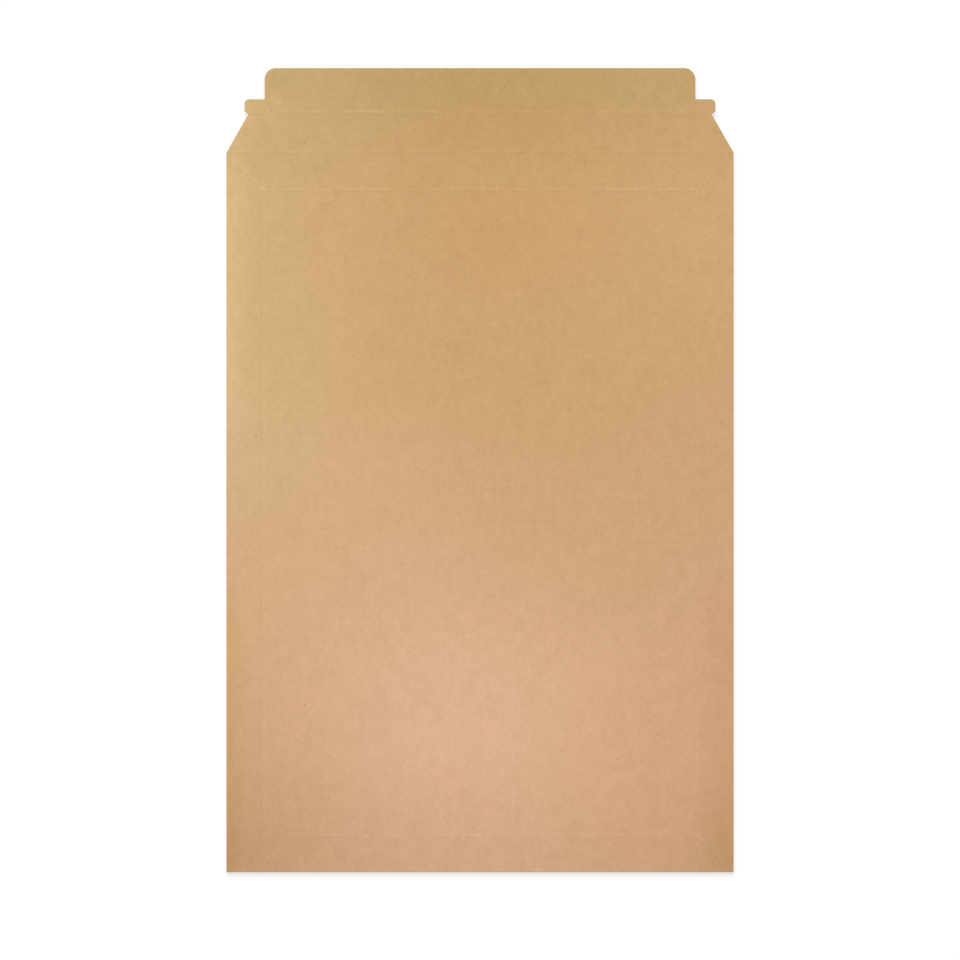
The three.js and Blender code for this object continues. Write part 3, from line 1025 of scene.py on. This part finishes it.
def outer_kraft():
    """The outer face, with painted light and shade over its colour: olive towards the flap,
    pinkish low in the middle, paler up the left.
    """
    g = Graph("kraft_outer")
    left, right = g.ramp(g.u, 0.0, -167.0), g.ramp(g.u, 20.0, 167.0)
    low = g.ramp(g.v, -60.0, -220.0)
    # These tones are painted light and shade laid over the board's colour: a brighter pinkish pool
    # low in the middle, brighter up the left edge, darker and olive towards the flap, darker
    # bottom corners, and paler tabs and bottom fold.
    # Each is a mask and the tone it adds. Most of the tones, and the base colour below, are the
    # result of a least-squares fit to the photograph by another program.
    fields = (
        (g.ramp(g.v, -40.0, 200.0), (-0.0234, -0.0155, -0.033)),
        (g.ramp(g.v, 200.0, 290.0), (-0.0716, -0.0258, -0.0203)),
        (g.ramp(g.v, 40.0, -160.0), (0.0371, 0.0202, 0.0272)),
        (g.blob(-26.0, -131.0, 170.0, 150.0), (0.068, 0.0469, 0.065)),
        (g.blob(-35.0, 10.0, 110.0, 80.0), (0.0291, 0.0199, 0.0224)),
        (g.ramp(g.v, -150.0, -240.0), (-0.0331, -0.026, 0.0)),
        (g.times(left, g.ramp(g.v, -140.0, 60.0)), (0.041, 0.0651, 0.0418)),
        (g.times(left, g.ramp(g.v, 180.0, 290.0)), (0.0114, 0.0, 0.0)),
        (g.times(left, low), (-0.0737, -0.0482, -0.0373)),
        (right, (-0.0106, -0.0102, 0.004)),
        (g.times(right, g.ramp(g.v, 40.0, 200.0)), (0.0351, 0.0315, 0.0129)),
        (g.times(right, low), (-0.0183, -0.0162, -0.0256)),
        (g.blob(172.0, -245.0, 70.0, 80.0), (-0.048, -0.02, -0.034)),
        (g.blob(-172.0, -245.0, 60.0, 60.0), (-0.0148, -0.0088, -0.0121)),
        (g.times(g.ramp(g.u, -146.0, -166.0), g.ramp(g.v, 10.0, 100.0)), (0.062, 0.052, 0.035)),
        (g.times(g.ramp(g.u, -150.0, -167.0), g.ramp(g.v, 0.0, -100.0)), (-0.044, -0.016, -0.038)),
        (g.times(g.ramp(g.u, 138.0, 162.0), g.ramp(g.v, 0.0, -100.0)), (-0.044, -0.034, -0.024)),
        (g.times(g.ramp(g.v, -235.4, -236.8), g.ramp(g.v, -244.0, -241.0)), (0.04, 0.027, 0.016)),
        (g.blob(-147.0, 266.0, 30.0, 20.0), (0.06, 0.042, 0.022)),
        (g.blob(148.0, 266.0, 26.0, 14.0), (0.02, 0.013, 0.007)),
    )
    color = g.fields((0.6385, 0.3826, 0.1919), fields)
    amount, mottle = grain(g)
    # Paler and darker along the creases: painted shading and highlight, with a little burnish.
    crease_shading_and_burnish = g.add("ShaderNodeAttribute")
    crease_shading_and_burnish.attribute_name = "crease_shading_and_burnish"
    color = g.shade(color, g.math("ADD", amount, crease_shading_and_burnish.outputs["Fac"]))
    g.surface(color, g.ramp(mottle, -0.4, 0.4, 0.82, 0.94), 0.22)
    board_bump(g, mottle, 1.6)
    return g.material


def inner_kraft():
    """The inner face, which shows on the flap's underside and in the mouth."""
    g = Graph("kraft_inner")
    amount, mottle = grain(g, 1.25)
    tone = g.noise(g.stretch(0.008, 0.006), detail=2.0)
    color = g.mix(g.ramp(tone, 0.3, 0.7), srgb(203, 163, 118), srgb(211, 171, 126))
    g.surface(g.shade(color, amount), g.ramp(mottle, -0.4, 0.4, 0.84, 0.96), 0.2)
    board_bump(g, mottle, 1.3)
    return g.material


def cut_edge():
    """Where the board is cut: both liners a little paler than the fluting between them."""
    g = Graph("kraft_cut_edge")
    away = g.math("ABSOLUTE", g.math("SUBTRACT", g.h, BOARD / 2))
    liner = g.ramp(away, BOARD / 2 - LINER - 0.05, BOARD / 2 - LINER + 0.02)
    fluting = g.noise(g.stretch(0.7, 0.7, 3.0), detail=3.0, roughness=0.7)
    core = g.mix(g.ramp(fluting, 0.3, 0.7), srgb(186, 144, 101), srgb(206, 165, 122))
    color = g.mix(liner, core, srgb(216, 178, 135))
    fuzz = g.noise(g.stretch(2.2, 2.2, 4.0, (1.0, 2.0, 3.0)), detail=3.0, roughness=0.7)
    color = g.shade(color, g.math("MULTIPLY", g.math("SUBTRACT", fuzz, 0.5), 0.22))
    g.surface(color, g.ramp(fuzz, 0.2, 0.8, 0.88, 0.99), 0.12)
    g.bump(fuzz, 0.04 * MM)
    return g.material


def tear_film():
    """Brown film, drawn out along its length."""
    g = Graph("tear_tape_film")
    pulled = g.noise(g.stretch(0.02, 2.4), detail=3.0, roughness=0.6)
    color = g.mix(g.ramp(pulled, 0.3, 0.7), srgb(178, 131, 80), srgb(192, 146, 94))
    g.surface(color, g.ramp(pulled, 0.25, 0.75, 0.3, 0.46))
    g.bump(pulled, 0.02 * MM)
    return g.material


def glue_band():
    """Adhesive, a little lumpy."""
    g = Graph("adhesive_gloss")
    lumps = g.noise(g.stretch(0.35, 0.8), detail=4.0, roughness=0.6)
    color = g.mix(g.ramp(lumps, 0.3, 0.7), srgb(222, 210, 182), srgb(236, 227, 204))
    g.surface(color, g.ramp(lumps, 0.25, 0.75, 0.22, 0.4))
    g.bump(lumps, 0.05 * MM)
    return g.material


def release_paper():
    """Coated paper, pale and smooth."""
    g = Graph("release_paper")
    cloud = g.noise(g.stretch(0.12, 0.3), detail=5.0, roughness=0.75)
    color = g.mix(g.ramp(cloud, 0.3, 0.7), srgb(235, 230, 219), srgb(245, 242, 234))
    g.surface(color, g.ramp(cloud, 0.25, 0.75, 0.42, 0.56))
    g.bump(g.noise(g.stretch(1.5, 1.5, shift=(4.0, 4.0, 0.0)), detail=3.0), 0.012 * MM)
    return g.material


# The mailer

board_materials = [outer_kraft(), inner_kraft(), cut_edge()]

pocket = pocket_sheet().build("mailer_pocket", fold_pocket, board_materials)
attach(pocket, "pocket")
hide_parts("pocket_board")

strip = fold_sheet().build("flap_fold_strip", fold_flat, board_materials)
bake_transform(strip)

flap = flap_sheet().build("mailer_flap", fold_flat, board_materials)
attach(flap, "flap")
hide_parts("closure_flap")

tape = band(
    "tear_tape_film", tear_film(), half=155.0, middle=TAPE_Y, width=6.0, top=BACK_Z,
    bottom=TAPE_Z, wobble=0.1, seed=11,
)
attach(tape, "flap")
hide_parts("tear_tape")

glue = band(
    "adhesive_band", glue_band(), half=135.25, middle=GLUE_Y, width=12.0, top=BACK_Z,
    bottom=GLUE_Z, wobble=0.35, seed=12,
)
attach(glue, "flap")
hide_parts("adhesive_strip")

liner = band(
    "liner_paper", release_paper(), half=138.25, middle=GLUE_Y, width=15.0, top=GLUE_Z,
    bottom=LINER_Z, wobble=0.12, seed=13, curl=0.06,
)
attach(liner, "flap")
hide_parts("release_liner")


# Floor, light and camera


def any_ray(tree, names):
    """1 for rays of the named kinds, and 0 for all others."""
    rays = tree.nodes.new("ShaderNodeLightPath")
    total = rays.outputs[names[0]]
    for name in names[1:]:
        node = tree.nodes.new("ShaderNodeMath")
        node.operation = "MAXIMUM"
        tree.links.new(total, node.inputs[0])
        tree.links.new(rays.outputs[name], node.inputs[1])
        total = node.outputs[0]
    return total


def make_floor():
    """A round floor that catches the shadow, and lets the studio's light reach the underside."""
    angles = np.linspace(0, 2 * math.pi, FLOOR_SIDES + 1)[:-1]
    rim = [(FLOOR_RADIUS * math.cos(a), FLOOR_RADIUS * math.sin(a), FLOOR_Z) for a in angles]
    mesh = bpy.data.meshes.new("floor")
    mesh.from_pydata(rim, [], [tuple(range(FLOOR_SIDES))])
    material = bpy.data.materials.new("floor_white")
    material.use_nodes = True
    tree = material.node_tree
    tree.nodes.clear()
    new, link = tree.nodes.new, tree.links.new
    diffuse = new("ShaderNodeBsdfDiffuse")
    diffuse.inputs["Color"].default_value = (FLOOR_ALBEDO, FLOOR_ALBEDO, FLOOR_ALBEDO, 1)
    glow = new("ShaderNodeEmission")
    lift = FLOOR_WHITE - FLOOR_ALBEDO
    glow.inputs["Color"].default_value = (lift, lift, lift, 1)
    link(any_ray(tree, SEEN), glow.inputs["Strength"])
    both = new("ShaderNodeAddShader")
    link(diffuse.outputs[0], both.inputs[0])
    link(glow.outputs[0], both.inputs[1])
    passing = new("ShaderNodeMath")
    passing.operation = "MAXIMUM"
    link(new("ShaderNodeNewGeometry").outputs["Backfacing"], passing.inputs[0])
    link(any_ray(tree, ("Is Diffuse Ray", "Is Shadow Ray")), passing.inputs[1])
    side = new("ShaderNodeMixShader")
    link(passing.outputs[0], side.inputs[0])
    link(both.outputs[0], side.inputs[1])
    link(new("ShaderNodeBsdfTransparent").outputs[0], side.inputs[2])
    link(side.outputs[0], new("ShaderNodeOutputMaterial").inputs["Surface"])
    mesh.materials.append(material)
    floor = bpy.data.objects.new("floor", mesh)
    bpy.context.scene.collection.objects.link(floor)
    floor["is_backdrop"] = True


def make_world():
    """Even light from above and from below, and white where the background is seen."""
    world = bpy.data.worlds.new("studio")
    bpy.context.scene.world = world
    world.use_nodes = True
    tree = world.node_tree
    tree.nodes.clear()
    new, link = tree.nodes.new, tree.links.new
    fill, white = new("ShaderNodeBackground"), new("ShaderNodeBackground")
    height = new("ShaderNodeSeparateXYZ")
    link(new("ShaderNodeTexCoord").outputs["Generated"], height.inputs[0])
    level = new("ShaderNodeMapRange")
    names = ("From Min", "From Max", "To Min", "To Max")
    for name, value in zip(names, (HORIZON, -HORIZON, AMBIENT, BOUNCE)):
        level.inputs[name].default_value = value
    link(height.outputs["Z"], level.inputs["Value"])
    link(level.outputs[0], fill.inputs["Strength"])
    fill.inputs["Color"].default_value = (1, 1, 1, 1)
    white.inputs["Color"].default_value = (1, 1, 1, 1)
    mix = new("ShaderNodeMixShader")
    link(any_ray(tree, SEEN), mix.inputs[0])
    link(fill.outputs[0], mix.inputs[1])
    link(white.outputs[0], mix.inputs[2])
    link(mix.outputs[0], new("ShaderNodeOutputWorld").inputs["Surface"])


def make_key():
    """The large soft lamp beyond the flap."""
    lamp = bpy.data.lights.new("key", "SUN")
    lamp.energy = KEY
    lamp.angle = math.radians(KEY_ANGLE)
    key = bpy.data.objects.new("key", lamp)
    key.rotation_mode = "QUATERNION"
    key.rotation_quaternion = Vector(KEY_TOWARDS).to_track_quat("Z", "Y")
    bpy.context.scene.collection.objects.link(key)


def make_camera():
    """The photo's view, straight down."""
    data = bpy.data.cameras.new("camera")
    data.sensor_fit = "HORIZONTAL"
    data.angle = 2 * math.atan(VIEW_HALF_WIDTH / (CAMERA_HEIGHT - (BACK_Z + BOARD) * MM))
    camera = bpy.data.objects.new("camera", data)
    camera.location = (0.0, VIEW_Y, CAMERA_HEIGHT)
    bpy.context.scene.collection.objects.link(camera)
    bpy.context.scene.camera = camera


make_floor()
make_world()
make_key()
make_camera()

bpy.context.scene.view_settings.view_transform = "Standard"

bpy.context.view_layer.update()
boxes = {"cad": cad_box, "visual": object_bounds()}
{name: [list(corner) for corner in box] for name, box in boxes.items()}
